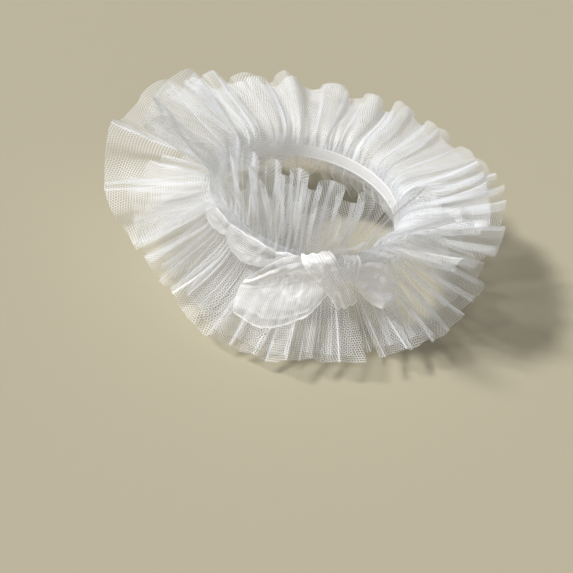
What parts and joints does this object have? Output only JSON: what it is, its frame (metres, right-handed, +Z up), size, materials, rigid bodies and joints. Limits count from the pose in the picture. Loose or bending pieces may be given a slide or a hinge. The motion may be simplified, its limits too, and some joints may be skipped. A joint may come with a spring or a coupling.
{
  "type": "ruff collar",
  "caption": "Stand-away neck ruff of gathered net ruffles above and below a seam, with a puffed ribbon over the seam and a tied bow at the front.",
  "frame": {"origin": "centre of the neck ring in the plane of the gathered seam", "axes": "+Z up along the neck, the wearer faces -Y, +X is the wearer's left"},
  "size_m": [0.2767, 0.256, 0.1348],
  "materials": {
    "neck_ribbon": "matt woven ribbon",
    "upper_ruffle_inner": "stiff hexagonal net",
    "upper_ruffle_outer": "stiff hexagonal net",
    "lower_ruffle_inner": "stiff hexagonal net",
    "lower_ruffle_outer": "stiff hexagonal net",
    "ruched_cover": "sheer ribbon",
    "bow_knot": "sheer ribbon",
    "bow_loop_left": "sheer ribbon",
    "bow_loop_right": "sheer ribbon",
    "bow_tail": "sheer ribbon"
  },
  "bodies": {
    "root": {"neck_ribbon": "neck_ribbon", "upper_ruffle_inner": "upper_ruffle_inner", "upper_ruffle_outer": "upper_ruffle_outer", "lower_ruffle_inner": "lower_ruffle_inner", "lower_ruffle_outer": "lower_ruffle_outer", "ruched_cover": "ruched_cover", "bow_knot": "bow_knot", "bow_loop_left": "bow_loop_left", "bow_loop_right": "bow_loop_right", "bow_tail": "bow_tail"}
  },
  "joints": []
}
